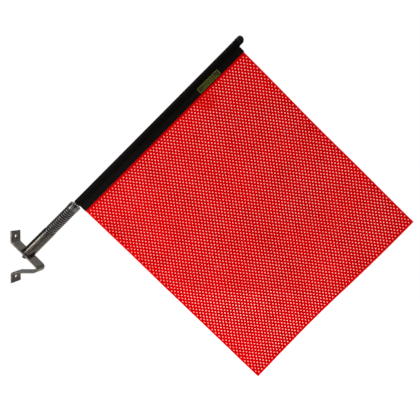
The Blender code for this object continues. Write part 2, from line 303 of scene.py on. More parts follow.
def ramp(tree, value, stops):
    """Colours at positions along a value."""
    made = add_node(tree, "ValToRGB", {"Fac": value})
    elements = made.color_ramp.elements
    while len(elements) < len(stops):
        elements.new(0.5)
    for element, (position, colour) in zip(elements, stops):
        element.position = position
        element.color = (*colour, 1.0)
    return made.outputs["Color"]


def mixed(tree, share, first, second):
    """One colour into another."""
    made = add_node(tree, "Mix", {"Factor": share}, data_type="RGBA")
    for key, value in (("A", first), ("B", second)):
        socket = next(s for s in made.inputs if s.name == key and s.type == "RGBA")
        if isinstance(value, bpy.types.NodeSocket):
            tree.links.new(value, socket)
        else:
            socket.default_value = (*value, 1.0)
    return next(s for s in made.outputs if s.type == "RGBA")


def maths(tree, operation, first, second=0.0):
    """One calculation with values or sockets."""
    return add_node(tree, "Math", {0: first, 1: second}, operation=operation).outputs[0]


def in_range(tree, value, low, high, to_low=0.0, to_high=1.0):
    """A value from low to high, clamped and moved to another range."""
    inputs = {"Value": value, "From Min": low, "From Max": high, "To Min": to_low, "To Max": to_high}
    return add_node(tree, "MapRange", inputs).outputs["Result"]


def bumped(tree, shader, height, distance, strength=1.0):
    """Fine relief, where a height of 1 stands that distance proud."""
    inputs = {"Height": height, "Distance": distance, "Strength": strength}
    normal = add_node(tree, "Bump", inputs).outputs["Normal"]
    tree.links.new(normal, shader.inputs["Normal"])


def edge_wear(tree, radius):
    """About 1 on a convex edge and 0 on a flat face."""
    soft = add_node(tree, "Bevel", {"Radius": radius}, samples=6).outputs["Normal"]
    hard = add_node(tree, "NewGeometry").outputs["Normal"]
    likeness = add_node(tree, "VectorMath", {0: soft, 1: hard}, operation="DOT_PRODUCT")
    return in_range(tree, likeness.outputs["Value"], 0.99, 0.80)


def blended(tree, first, second, share):
    """The sum of a share of the first value and the rest of the second."""
    part = maths(tree, "MULTIPLY", first, share)
    return maths(tree, "ADD", part, maths(tree, "MULTIPLY", second, 1.0 - share))


def steel(name, dark, light, roughness, grain=(1.0, 1.0, 1.0), stain=None, wear=0.0):
    """Bare steel: blotches, fine grain stretched along an axis, and brighter worn edges."""
    made, tree, shader, place = new_material(name, {"Metallic": 1.0})
    blotch = noise_value(tree, place, 6.0 * MM, 4.0, 0.6)
    speck = noise_value(tree, place, 0.9 * MM, 3.0, 0.6)
    fine = noise_value(tree, stretched(tree, place, grain), 0.35 * MM, 2.0)
    colour = ramp(tree, blended(tree, blotch, speck, 0.7), [(0.36, dark), (0.64, light)])
    if stain:
        patch = noise_value(tree, place, 11.0 * MM, 3.0, 0.6)
        colour = mixed(tree, in_range(tree, patch, 0.50, 0.68, 0.0, 0.75), colour, stain)
    if wear:
        share = maths(tree, "MULTIPLY", edge_wear(tree, 0.7 * MM), wear)
        share = maths(tree, "MULTIPLY", share, in_range(tree, speck, 0.3, 0.6))
        colour = mixed(tree, share, colour, tuple(min(1.0, 2.2 * part) for part in light))
    tree.links.new(colour, shader.inputs["Base Color"])
    grit = maths(tree, "ADD", fine, speck)
    matt = in_range(tree, grit, 0.7, 1.3, roughness - 0.08, roughness + 0.14)
    tree.links.new(matt, shader.inputs["Roughness"])
    height = maths(tree, "ADD", fine, maths(tree, "MULTIPLY", speck, 0.8))
    bumped(tree, shader, height, 0.03 * MM)
    return made


def moulded(name, colour, roughness, gloss, grain_size):
    """Moulded plastic or rubber with a fine grain and a little dust."""
    made, tree, shader, place = new_material(name, {"Specular IOR Level": gloss})
    dust = in_range(tree, noise_value(tree, place, 5.0 * MM, 4.0, 0.6), 0.52, 0.75, 0.0, 0.5)
    paler = tuple(2.0 * part + 0.002 for part in colour)
    tree.links.new(mixed(tree, dust, colour, paler), shader.inputs["Base Color"])
    grain = noise_value(tree, place, grain_size, 2.0)
    matt = in_range(tree, grain, 0.3, 0.7, roughness - 0.05, roughness + 0.1)
    tree.links.new(matt, shader.inputs["Roughness"])
    bumped(tree, shader, grain, 0.02 * MM)
    return made


def weave_height(tree, place, pitch):
    """Plain weave along the fly and up the pole: 0 between yarns and 1 on top of one."""
    axes = add_node(tree, "SeparateXYZ", {"Vector": place}).outputs
    across = maths(tree, "MULTIPLY", axes["X"], math.pi / pitch)
    up = maths(tree, "MULTIPLY", axes["Z"], math.pi / pitch)
    checker = maths(tree, "MULTIPLY", maths(tree, "SINE", across), maths(tree, "SINE", up))
    return in_range(tree, checker, -1.0, 1.0)


def sleeve_material():
    """Black woven nylon, paler where the weave catches the light."""
    sockets = {"Roughness": 0.55, "Specular IOR Level": 0.05}
    made, tree, shader, place = new_material("sleeve_fabric", sockets)
    weave = weave_height(tree, place, 0.55 * MM)
    cloud = noise_value(tree, stretched(tree, place, (1.0, 1.0, 0.35)), 9.0 * MM, 4.0, 0.6)
    fuzz = noise_value(tree, place, 0.25 * MM, 2.0)
    shade = blended(tree, weave, cloud, 0.4)
    colour = ramp(tree, shade, [(0.25, (0.0012, 0.0008, 0.0006)), (0.75, (0.0045, 0.0032, 0.0026))])
    tree.links.new(colour, shader.inputs["Base Color"])
    height = maths(tree, "ADD", weave, maths(tree, "MULTIPLY", fuzz, 0.4))
    bumped(tree, shader, height, 0.08 * MM, 0.8)
    return made


def net_material():
    """Red vinyl-coated knitted net, with painted shade that darkens it towards its knots, a painted
    highlight at each hole's rim, and bright red hems.
    """
    made, tree, shader, place = new_material("red_mesh", {"Specular IOR Level": 0.02})
    painted_knot_shade = add_node(tree, "Attribute", attribute_name="painted_knot_shade").outputs["Fac"]
    hem = add_node(tree, "Attribute", attribute_name="hem").outputs["Fac"]
    cloud = noise_value(tree, place, 60.0 * MM, 3.0, 0.5)
    yarn = noise_value(tree, stretched(tree, place, (1.0, 1.0, 1.6)), 0.5 * MM, 2.0)
    # The colour runs from a painted highlight at each hole's rim to painted shade at the knots,
    # mixed with random darker and lighter zones.
    shade = blended(tree, painted_knot_shade, cloud, 0.62)
    colour = ramp(tree, shade, [(0.15, (0.98, 0.001, 0.002)), (0.85, (0.45, 0.0003, 0.0005))])
    colour = mixed(tree, hem, colour, (0.90, 0.004, 0.005))
    tree.links.new(colour, shader.inputs["Base Color"])
    tree.links.new(in_range(tree, yarn, 0.3, 0.7, 0.36, 0.52), shader.inputs["Roughness"])
    bumped(tree, shader, yarn, 0.12 * MM, 0.7)
    return made


def thread_material():
    """Black twisted thread."""
    sockets = {"Roughness": 0.55, "Specular IOR Level": 0.15}
    made, tree, shader, place = new_material("thread", sockets)
    twist = noise_value(tree, stretched(tree, place, (3.0, 3.0, 1.0)), 0.5 * MM, 2.0)
    colour = ramp(tree, twist, [(0.35, (0.003, 0.0025, 0.002)), (0.7, (0.016, 0.014, 0.013))])
    tree.links.new(colour, shader.inputs["Base Color"])
    bumped(tree, shader, twist, 0.06 * MM)
    return made


def label_material(low, high):
    """Woven olive label: a border line and two rows of plain dashes, with no lettering."""
    made, tree, shader, place = new_material("label", {"Roughness": 0.6, "Specular IOR Level": 0.1})
    axes = add_node(tree, "SeparateXYZ", {"Vector": place}).outputs
    centre = (low + high) / 2
    half = (high - low) / 2
    fly = maths(tree, "SUBTRACT", axes["X"], centre.x)
    up = maths(tree, "SUBTRACT", axes["Z"], centre.z)
    from_corner = []
    for offset, reach in ((fly, half.x), (up, half.z)):
        straight = reach - LABEL_LINE_INSET - LABEL_CORNER
        past = maths(tree, "SUBTRACT", maths(tree, "ABSOLUTE", offset), straight)
        from_corner.append(maths(tree, "POWER", maths(tree, "MAXIMUM", past, 0.0), 2.0))
    reach = maths(tree, "SQRT", maths(tree, "ADD", *from_corner))
    ink = maths(tree, "COMPARE", reach, LABEL_CORNER)
    ink.node.inputs[2].default_value = LABEL_LINE_WIDTH / 2
    for row_at, half_row, low_end, high_end, pitch, gap in LABEL_ROWS:
        in_row = maths(tree, "COMPARE", fly, row_at)
        in_row.node.inputs[2].default_value = half_row
        inside = maths(tree, "COMPARE", up, (low_end + high_end) / 2)
        inside.node.inputs[2].default_value = (high_end - low_end) / 2
        dash = maths(tree, "GREATER_THAN", maths(tree, "PINGPONG", up, pitch / 2), gap / 2)
        dash = maths(tree, "MULTIPLY", dash, maths(tree, "MULTIPLY", in_row, inside))
        ink = maths(tree, "MAXIMUM", ink, maths(tree, "MULTIPLY", dash, LABEL_ROW_INK))
    weave = weave_height(tree, place, 0.32 * MM)
    ground = ramp(tree, weave, [(0.2, (0.010, 0.012, 0.004)), (0.8, (0.030, 0.038, 0.008))])
    inked = ramp(tree, weave, [(0.2, (0.085, 0.105, 0.006)), (0.8, (0.170, 0.200, 0.018))])
    tree.links.new(mixed(tree, ink, ground, inked), shader.inputs["Base Color"])
    bumped(tree, shader, weave, 0.05 * MM, 0.8)
    return made


def floor_material():
    """Pale floor that glows a little, as a lit paper sweep does."""
    sockets = {
        "Roughness": 0.9,
        "Specular IOR Level": 0.1,
        "Emission Color": (1.0, 1.0, 1.0, 1.0),
        "Emission Strength": 0.86,
    }
    made, tree, shader, place = new_material("floor", sockets)
    cloud = noise_value(tree, place, 0.5, 2.0)
    colour = ramp(tree, cloud, [(0.3, (0.86, 0.86, 0.86)), (0.7, (0.90, 0.90, 0.90))])
    tree.links.new(colour, shader.inputs["Base Color"])
    return made


# ---- steel pieces

def holder_tube(finish):
    """Round holder that narrows slightly towards the spring."""
    low, high = pole_box("holder_tube")
    foot_radius = high.x
    corners = [
        (HOLDER_BORE, low.z, 0.0),
        (foot_radius, low.z, 0.3 * MM),
        (foot_radius - 0.15 * MM, low.z + 16 * MM, 12 * MM),
        (foot_radius - 0.4 * MM, high.z, 0.7 * MM),
        (HOLDER_BORE, high.z, 0.4 * MM),
    ]
    made = turned("holder_tube_finished", corners, finish)
    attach(made, "bracket")
    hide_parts("holder_tube")


def foot_weld(finish):
    """Fillet bead, laid as overlapping puddles round the holder's foot."""
    low, high = pole_box("foot_weld")
    inner = pole_box("holder_tube")[1].x - 0.1 * MM
    vertices = []
    for step in range(WELD_STEPS_AROUND):
        angle = 2 * math.pi * step / WELD_STEPS_AROUND
        phase = (step * WELD_PUDDLES / WELD_STEPS_AROUND) % 1.0
        # Each puddle starts proud and ends low, and no two are quite alike.
        swell = 1.0 + 0.10 * (1.0 - phase) ** 2 - 0.05
        swell *= 1.0 + 0.06 * noise.noise(Vector((math.cos(angle), math.sin(angle), 0.3)) * 4.0)
        reach = (high.x - inner) * swell
        rise = (high.z - low.z) * swell
        for point in range(WELD_STEPS_ACROSS + 1):
            bead = 0.5 * math.pi * point / WELD_STEPS_ACROSS
            sag = 1 - WELD_HOLLOW * math.sin(2 * bead)
            radius = inner + reach * math.cos(bead) * sag
            height = low.z + rise * math.sin(bead) * sag
            vertices.append((radius * math.cos(angle), radius * math.sin(angle), height))
        vertices.append((inner * math.cos(angle), inner * math.sin(angle), low.z))
    ring = WELD_STEPS_ACROSS + 2
    faces = []
    for step in range(WELD_STEPS_AROUND):
        here = step * ring
        beside = (step + 1) % WELD_STEPS_AROUND * ring
        for point in range(ring):
            after = (point + 1) % ring
            faces.append((here + point, beside + point, beside + after, here + after))
    made = add_piece("foot_weld_bead", vertices, faces, finish)
    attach(made, "bracket")
    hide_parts("foot_weld")


def anchor_stud(finish):
    """Stud through the leg, with a wider head inside the holder."""
    low, high = pole_box("anchor_stud")
    shoulder = pole_box("holder_tube")[0].z
    corners = [
        (0.0, low.z, 0.0),
        (STUD_RADIUS, low.z, 1.3 * MM),
        (STUD_RADIUS, shoulder, 0.0),
        (high.x, shoulder, 0.0),
        (high.x, high.z, 1.0 * MM),
        (0.0, high.z, 0.0),
    ]
    made = turned("anchor_stud_finished", corners, finish)
    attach(made, "bracket")
    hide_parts("anchor_stud")


def wire_along_coil(name, first_turn, last_turn, finish):
    """A stretch of the spring's wire, ground flat where it reaches the spring's two ends."""
    low, high = pole_box("coil_spring")
    coil_radius = high.x - WIRE_RADIUS
    bottom = low.z + WIRE_RADIUS
    rise = (high.z - low.z - 2 * WIRE_RADIUS) / SPRING_TURNS
    steps = round((last_turn - first_turn) * WIRE_STEPS)
    vertices = []
    faces = []
    for step in range(steps + 1):
        turns = first_turn + (last_turn - first_turn) * step / steps
        angle = 2 * math.pi * turns
        outward = Vector((math.cos(angle), math.sin(angle), 0.0))
        along = Vector((-outward.y * coil_radius, outward.x * coil_radius, rise / (2 * math.pi)))
        upward = outward.cross(along.normalized())
        centre = outward * coil_radius + Vector((0.0, 0.0, bottom + rise * turns))
        for side in range(WIRE_SIDES):
            turn = 2 * math.pi * side / WIRE_SIDES
            point = centre + (outward * math.cos(turn) + upward * math.sin(turn)) * WIRE_RADIUS
            point.z = min(max(point.z, low.z), high.z)
            vertices.append(point)
    for step in range(steps):
        for side in range(WIRE_SIDES):
            beside = (side + 1) % WIRE_SIDES
            here = step * WIRE_SIDES
            ahead = here + WIRE_SIDES
            faces.append((here + side, here + beside, ahead + beside, ahead + side))
    faces.append(tuple(range(WIRE_SIDES)))
    faces.append(tuple(range(steps * WIRE_SIDES, (steps + 1) * WIRE_SIDES)))
    return add_piece(name, vertices, faces, finish)


def coil_spring(finish):
    """The spring's wire in two halves, with their transforms baked into their meshes."""
    half_way = SPRING_TURNS / 2
    last_turn = SPRING_TURNS + GROUND_TURNS
    lower = wire_along_coil("spring_lower_coils", -GROUND_TURNS, half_way, finish)
    upper = wire_along_coil("spring_upper_coils", half_way, last_turn, finish)
    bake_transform(lower)
    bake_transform(upper)
    for half in (lower, upper):
        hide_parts("coil_spring")


def top_collar(finish):
    """Smooth collar on top of the spring."""
    low, high = pole_box("top_collar")
    corners = [
        (COLLAR_BORE, low.z, 0.0),
        (high.x, low.z, 0.4 * MM),
        (high.x, high.z, 1.2 * MM),
        (COLLAR_BORE, high.z, 0.3 * MM),
    ]
    made = turned("top_collar_finished", corners, finish)
    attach(made, "pole")
    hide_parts("top_collar")


def neck_rod(finish):
    """Rod from a plug inside the spring, through the collar, and up into the pole."""
    low, high = pole_box("neck_rod")
    shoulder = pole_box("top_collar")[0].z - 0.3 * MM
    corners = [
        (0.0, low.z, 0.0),
        (high.x, low.z, 0.8 * MM),
        (high.x, shoulder, 0.0),
        (NECK_RADIUS, shoulder, 0.0),
        (NECK_RADIUS, high.z, 0.8 * MM),
        (0.0, high.z, 0.0),
    ]
    made = turned("neck_rod_finished", corners, finish)
    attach(made, "pole")
    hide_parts("neck_rod")


def bar_path():
    """The bent bar's middle line in the wall's X-Z plane, as (x, z, bend radius) corners."""
    low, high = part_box("bracket_strip")
    half = BAR_THICKNESS / 2
    upper = BEND_HEIGHT - half * math.tan(LEG_ANGLE / 2)
    return_leg = -BEND_HEIGHT - half
    return [
        (half, high.z, 0.0),
        (half, upper, TAB_BEND_RADIUS),
        (half + upper - return_leg, return_leg, NOSE_RADIUS),
        (half, return_leg, TAB_BEND_RADIUS),
        (half, low.z, 0.0),
    ]


def cut_holes(obj, centres, direction, radius):
    """Drills straight through the bar at each centre."""
    for centre in centres:
        cutter_data = bmesh.new()
        bmesh.ops.create_cone(
            cutter_data,
            cap_ends=True,
            segments=ROUND_STEPS // 2,
            radius1=radius,
            radius2=radius,
            depth=5 * BAR_THICKNESS,
        )
        turn = UP_AXIS.rotation_difference(direction)
        cutter_data.transform(Matrix.Translation(centre) @ turn.to_matrix().to_4x4())
        mesh = bpy.data.meshes.new("hole_cutter")
        cutter_data.to_mesh(mesh)
        cutter_data.free()
        cutter = bpy.data.objects.new("hole_cutter", mesh)
        bpy.context.scene.collection.objects.link(cutter)
        boolean = obj.modifiers.new("hole", "BOOLEAN")
        boolean.object = cutter
        apply_modifiers(obj)
        bpy.data.objects.remove(cutter)


def bracket(finish):
    """The bent bar, with drilled holes and slightly rounded edges."""
    low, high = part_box("bracket_strip")
    middle = rounded(bar_path(), BEND_STEPS)
    sides = []
    for index, point in enumerate(middle):
        before = middle[max(0, index - 1)]
        after = middle[min(len(middle) - 1, index + 1)]
        along = (after - before).normalized()
        sides.append(Vector((-along.y, along.x, 0.0)) * BAR_THICKNESS / 2)
    outline = [point + side for point, side in zip(middle, sides)]
    outline += [point - side for point, side in reversed(list(zip(middle, sides)))]
    vertices = [(point.x, low.y, point.y) for point in outline]
    vertices += [(point.x, high.y, point.y) for point in outline]
    count = len(outline)
    faces = []
    for index in range(count):
        after = (index + 1) % count
        faces.append((index, after, after + count, index + count))
    for index in range(count // 2 - 1):
        mirror = count - 1 - index
        faces.append((index, index + 1, mirror - 1, mirror))
        faces.append((index + count, index + 1 + count, mirror - 1 + count, mirror + count))
    made = add_piece("bracket_strip_finished", vertices, faces, finish, Matrix.Identity(4))
    screw_heights = (SCREW_HOLE_HEIGHT, -SCREW_HOLE_HEIGHT)
    screw_holes = [Vector((BAR_THICKNESS / 2, 0.0, height)) for height in screw_heights]
    cut_holes(made, screw_holes, Vector((1.0, 0.0, 0.0)), SCREW_HOLE_RADIUS)
    stud_foot = POLE_AXES @ Vector((0.0, 0.0, pole_box("holder_tube")[0].z))
    pole_up = POLE_AXES.to_3x3() @ UP_AXIS
    cut_holes(made, [stud_foot], pole_up, STUD_RADIUS + STUD_HOLE_CLEARANCE)
    bevel = made.modifiers.new("edges", "BEVEL")
    bevel.width = EDGE_ROUNDING
    bevel.segments = 3
    bevel.limit_method = "ANGLE"
    bevel.angle_limit = math.radians(40)
    bevel.harden_normals = True
    apply_modifiers(made)
    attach(made, "bracket")
    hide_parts("bracket_strip")


# ---- pole and cap

def pole_tube(finish):
    """Plain tube inside the sleeve."""
    low, high = pole_box("pole_tube")
    corners = [
        (POLE_BORE, low.z, 0.25 * MM),
        (high.x, low.z, 0.5 * MM),
        (high.x, high.z, 0.3 * MM),
        (POLE_BORE, high.z, 0.25 * MM),
    ]
    made = turned("pole_tube_finished", corners, finish)
    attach(made, "pole")
    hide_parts("pole_tube")


def tip_cap(finish):
    """Dip-moulded cap: a dome over a skirt that ends in a thin bead."""
    low, high = pole_box("pole_tip_cap")
    skirt = high.x - 0.2 * MM
    roof = high.z - high.x
    bead_top = low.z + CAP_BEAD_HEIGHT
    corners = [
        (0.0, roof, 0.0),
        (CAP_BORE, roof, 0.3 * MM),
        (CAP_BORE, low.z, 0.15 * MM),
        (high.x, low.z, 0.45 * MM),
        (high.x, bead_top, 0.5 * MM),
        (skirt, bead_top + 0.4 * MM, 0.5 * MM),
        (skirt, high.z, CAP_DOME_RADIUS),
        (0.0, high.z, 0.0),
    ]
    made = turned("tip_cap_finished", corners, finish)
    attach(made, "pole")
    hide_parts("pole_tip_cap")


# ---- flag

def ripple(fly, height):
    """How far the cloth stands off its plane, growing from the sleeve to the free edge."""
    low, high = pole_box("mesh_panel")
    across = (fly - low.x) / (high.x - low.x)
    up = (height - low.z) / (high.z - low.z)
    wave = math.sin(2 * math.pi * (0.9 * across + 0.75 * up + 0.1))
    wave += 0.45 * math.sin(2 * math.pi * (1.7 * across - 1.3 * up))
    return RIPPLE * eased(across, 0.0, 0.7) * wave


def hung(fly, height):
    """Where a height of the flat cloth ends up: its lower edge rises towards its free corner."""
    low, high = pole_box("mesh_panel")
    across = (fly - low.x) / (high.x - low.x)
    from_top = (high.z - height) / (high.z - low.z)
    return height + DRAWN_IN * across * from_top


class Net:
    """Vertices and faces of the net, on a grid of knots and holes that alternate."""

    ROUND_A_HOLE = (
        (1, 0), (0.5, 0.5), (0, 1), (-0.5, 0.5),
        (-1, 0), (-0.5, -0.5), (0, -1), (0.5, -0.5),
    )

    def __init__(self):
        self.vertices = []
        self.faces = []
        self.painted_knot_shade = []
        self.hem = []
        self.known = {}
        self.low, self.high = pole_box("mesh_panel")
        sleeve_edge = pole_box("sleeve")[1].x
        self.left = sleeve_edge + PLAIN_BAND
        self.bottom = self.low.z + HEM_WIDTH
        width = self.high.x - HEM_WIDTH - self.left
        height = self.high.z - HEM_WIDTH - self.bottom
        self.columns = round(width / COLUMN_SPACING)
        self.rows = 2 * HOLE_ROWS
        self.column = width / self.columns
        self.row = height / self.rows

    def add(self, fly, height, depth, side, painted_knot_shade, hem):
        """A vertex on one side of the cloth: -1 is the front, 0 the middle and 1 the back."""
        self.vertices.append((fly, ripple(fly, height) + side * depth, hung(fly, height)))
        # The knot weight is how much painted shade the net's colour takes at this vertex.
        self.painted_knot_shade.append(painted_knot_shade)
        self.hem.append(hem)
        return len(self.vertices) - 1

    def on_grid(self, across, up, side):
        """The vertex at a grid point, or halfway between two, on one side of the cloth."""
        key = (across, up, side)
        if key not in self.known:
            at_edge = across in (0, self.columns) or up in (0, self.rows)
            is_knot = across == int(across)
            depth = KNOT_HALF_DEPTH if is_knot else STRAND_HALF_DEPTH
            at_hem = at_edge and across != 0
            if at_hem:
                depth = HEM_HALF_DEPTH
            fly = self.left + across * self.column
            height = self.bottom + up * self.row
            # Painted shade in the net's colour: full at a knot, less at a strand's middle.
            painted_knot_shade = 1.0 if is_knot else 0.45
            self.known[key] = self.add(fly, height, depth, side, painted_knot_shade, 1.0 if at_hem else 0.0)
        return self.known[key]

    def outline(self, across, up):
        """The eight grid points round a hole: four knots and the strands' middles between them."""
        return [(across + x, up + y) for x, y in self.ROUND_A_HOLE]

    def inside(self, across, up):
        return 0 <= across <= self.columns and 0 <= up <= self.rows

    def extra_coating(self, fly, height):
        """1 in the middle of the patch beside the label, where holes are narrower, and 0 outside."""
        along = fly - self.left - PATCH_FROM_SLEEVE
        up = height - self.low.z - PATCH_HEIGHT
        return 1.0 - eased(Vector((along, up)).length, 0.5 * PATCH_RADIUS, PATCH_RADIUS)

    def add_hole(self, across, up, random_source):
        """A hole with a ring of cloth round it, front and back, that share the hole's rim."""
        fly = self.left + across * self.column
        fly += random_source.uniform(-HOLE_JITTER, HOLE_JITTER)
        height = self.bottom + up * self.row
        height += random_source.uniform(-HOLE_JITTER, HOLE_JITTER)
        zone = noise.noise(Vector((fly, 0.0, height)) / (70 * MM))
        size = 1.0 + 0.10 * zone + random_source.uniform(-0.05, 0.05)
        from_edge = min(across, self.columns - across, up / 2, (self.rows - up) / 2)
        size *= 0.82 + 0.18 * eased(from_edge, 0.5, 2.5)
        size *= 1.0 - 0.38 * self.extra_coating(fly, height)
        rim = []
        for x, y in self.ROUND_A_HOLE:
            fullness = HOLE_CORNER_FULLNESS * 2 if x and y else 1.0
            rim_fly = fly + x * fullness * HOLE_HALF_WIDTH * size
            rim_height = height + y * fullness * HOLE_HALF_HEIGHT * size
            # The rim gets no painted shade, so it takes the net's painted highlight.
            rim.append(self.add(rim_fly, rim_height, 0.0, 0, 0.0, 0.0))
        for side in (-1, 1):
            ring = [self.on_grid(x, y, side) for x, y in self.outline(across, up)]
            for index in range(8):
                after = (index + 1) % 8
                self.faces.append((rim[index], rim[after], ring[after]))
                self.faces.append((rim[index], ring[after], ring[index]))

    def add_solid(self, across, up):
        """Plain cloth in a cell that the net's straight edge cuts through."""
        ring = self.outline(across, up)
        for side in (-1, 1):
            centre = self.on_grid(across, up, side)
            for first, second in zip(ring, ring[1:] + ring[:1]):
                if self.inside(*first) and self.inside(*second):
                    corners = (centre, self.on_grid(*first, side), self.on_grid(*second, side))
                    self.faces.append(corners)

    def border(self):
        """Grid points round the net's straight edges, in order."""
        line = [(across, 0) for across in range(self.columns)]
        line += [(self.columns, up) for up in range(self.rows)]
        line += [(across, self.rows) for across in range(self.columns, 0, -1)]
        line += [(0, up) for up in range(self.rows, 0, -1)]
        return line

    def add_border(self):
        """Plain cloth from the net out to the rounded free edges, and into the sleeve."""
        lines = []
        for across, up in self.border():
            fly = self.left + across * self.column
            height = self.bottom + up * self.row
            in_sleeve = across == 0
            out_fly = (across == self.columns) * HEM_WIDTH - in_sleeve * (self.left - self.low.x)
            out_height = ((up == self.rows) - (up == 0)) * HEM_WIDTH
            hem = 0.0 if in_sleeve else 1.0
            depth = STRAND_HALF_DEPTH if in_sleeve else 0.8 * HEM_HALF_DEPTH
            near = 0.97 if in_sleeve else 0.6
            near_fly = fly + out_fly * near
            near_height = height + out_height * near
            # The plain border gets a middling painted shade.
            front = self.add(near_fly, near_height, depth, -1, 0.7, hem)
            back = self.add(near_fly, near_height, depth, 1, 0.7, hem)
            tip = self.add(fly + out_fly, height + out_height, 0.0, 0, 0.7, hem)
            inner_front = self.on_grid(across, up, -1)
            inner_back = self.on_grid(across, up, 1)
            lines.append((inner_front, front, tip, back, inner_back))
        for here, ahead in zip(lines, lines[1:] + lines[:1]):
            for index in range(4):
                self.faces.append((here[index], ahead[index], ahead[index + 1], here[index + 1]))


def mesh_panel(finish):
    """The red net: a closed surface with every hole cut through it."""
    random_source = random.Random(7)
    net = Net()
    for across in range(net.columns + 1):
        for up in range(net.rows + 1):
            if (across + up) % 2 == 0:
                continue
            if 0 < across < net.columns and 0 < up < net.rows:
                net.add_hole(across, up, random_source)
            else:
                net.add_solid(across, up)
    net.add_border()
    made = add_piece("net_panel", net.vertices, net.faces, finish, sharp_angle=80.0)
    # The painted knot shade and the hem go on the vertices for the net's material.
    for name, values in (("painted_knot_shade", net.painted_knot_shade), ("hem", net.hem)):
        attribute = made.data.attributes.new(name, "FLOAT", "POINT")
        attribute.data.foreach_set("value", values)
    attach(made, "flag")
    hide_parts("mesh_panel")


def sleeve_profile():
    """The fabric's middle line across the sleeve: one ply, round the pole, and the other ply."""
    high = pole_box("sleeve")[1]
    radius = high.y - FABRIC_THICKNESS / 2
    ply = TAIL_HALF_THICKNESS - FABRIC_THICKNESS / 2
    leaves = PLY_LEAVES_ROUND_AT
    edge = high.x - FABRIC_THICKNESS / 4
    back = [Vector((edge, ply))]
    for step in range(1, TAIL_STEPS + 1):
        back.append(Vector((edge + (PLY_FLAT_START - edge) * step / TAIL_STEPS, ply)))
    lift = Vector((radius * math.cos(leaves), radius * math.sin(leaves)))
    for step in range(1, PLY_STEPS):
        share = step / PLY_STEPS
        point = back[TAIL_STEPS].lerp(lift, share)
        point.y -= PLY_DIP * math.sin(math.pi * share) ** 2 * (1 - share)
        back.append(point)
    front = [Vector((point.x, -point.y)) for point in reversed(back)]
    around = []
    for step in range(ROUND_POLE_STEPS + 1):
        angle = leaves + (2 * math.pi - 2 * leaves) * step / ROUND_POLE_STEPS
        around.append(Vector((radius * math.cos(angle), radius * math.sin(angle))))
    return back + around + front


def sleeve(finish):
    """Black fabric pocket, with turned hems at both ends and small creases."""
    low, high = pole_box("sleeve")
    profile = sleeve_profile()
    length = high.z - low.z
    vertices = []
    for step in range(SLEEVE_STEPS + 1):
        height = low.z + length * step / SLEEVE_STEPS
        from_end = min(height - low.z, high.z - height)
        hem = HEM_SWELL * (1.0 - eased(from_end, HEM_HEIGHT - 0.8 * MM, HEM_HEIGHT + 0.8 * MM))
        for index, point in enumerate(profile):
            before = profile[max(0, index - 1)]
            after = profile[min(len(profile) - 1, index + 1)]
            along = (after - before).normalized()
            outward = Vector((-along.y, along.x))
            if outward.dot(point) < 0:
                outward = -outward
            spot = Vector((point.x, point.y * 2.0, height * 0.30)) / (7.0 * MM)
            crease = CREASE_DEPTH * (noise.noise(spot) + 0.5 * noise.noise(spot * 2.3))
            # The fabric is loosest between the pole and the tail.
            loose = eased(point.x, -2 * MM, 9 * MM) * (1 - eased(point.x, 16 * MM, high.x))
            shift = hem + crease * (0.35 + loose)
            place = point + outward * min(shift, LARGEST_SHIFT)
            vertices.append((place.x, place.y, height))
    faces = []
    across = len(profile)
    for step in range(SLEEVE_STEPS):
        for index in range(across - 1):
            here = step * across + index
            faces.append((here, here + 1, here + across + 1, here + across))
    made = add_piece("sleeve_cover", vertices, faces, finish, sharp_angle=60.0)
    thick = made.modifiers.new("cloth", "SOLIDIFY")
    thick.thickness = FABRIC_THICKNESS
    thick.offset = 0.0
    thick.use_even_offset = True
    apply_modifiers(made)
    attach(made, "flag")
    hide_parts("sleeve")
    girth = sum((b - a).length for a, b in zip(profile, profile[1:]))
    return made, (girth, length)


def stitches(name, lines, finish):
    """Short rounded stitches along each line: (start, end, way out of the cloth)."""
    vertices = []
    faces = []
    for start, end, out in lines:
        along = (end - start).normalized()
        beside = along.cross(out)
        count = max(1, round((end - start).length / STITCH_PITCH))
        for index in range(count):
            centre = start.lerp(end, (index + 0.5) / count)
            first = len(vertices)
            for ring in range(STITCH_STEPS + 1):
                share = 2 * ring / STITCH_STEPS - 1
                girth = STITCH_RADIUS * math.sqrt(max(0.02, 1 - share ** 4))
                middle = centre + along * share * STITCH_LENGTH / 2
                middle = middle + out * STITCH_RADIUS * (0.5 - 1.2 * share ** 4)
                for side in range(STITCH_SIDES):
                    turn = 2 * math.pi * side / STITCH_SIDES
                    offset = out * math.cos(turn) * girth + beside * math.sin(turn) * girth
                    vertices.append(middle + offset)
            for ring in range(STITCH_STEPS):
                for side in range(STITCH_SIDES):
                    after = (side + 1) % STITCH_SIDES
                    here = first + ring * STITCH_SIDES
                    ahead = here + STITCH_SIDES
                    faces.append((here + side, here + after, ahead + after, ahead + side))
            last = first + STITCH_STEPS * STITCH_SIDES
            faces.append(tuple(range(first, first + STITCH_SIDES)))
            faces.append(tuple(range(last, last + STITCH_SIDES)))
    made = add_piece(name, vertices, faces, finish, sharp_angle=80.0)
    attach(made, "flag")
    return made


def sleeve_stitching(finish):
    """On each side, the row that holds the net and the two hems' rows."""
    low, high = pole_box("sleeve")
    seam = high.x - 0.8 * MM
    made = []
    for name, side in (("front", -1), ("back", 1)):
        out = Vector((0.0, side, 0.0))
        face = side * TAIL_HALF_THICKNESS
        hem_face = side * (TAIL_HALF_THICKNESS + 0.1 * MM)
        seam_start = Vector((seam, face, low.z + 1 * MM))
        rows = [(seam_start, Vector((seam, face, high.z - 1 * MM)), out)]
        for height in (low.z + HEM_HEIGHT - 2 * MM, high.z - HEM_HEIGHT + 2 * MM):
            start = Vector((PLY_FLAT_START, hem_face, height))
            rows.append((start, Vector((seam - 1 * MM, hem_face, height)), out))
        row = stitches("seam_stitches_" + name, rows, finish)
        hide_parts("seam_thread_" + name)
        made.append(row)
    return made


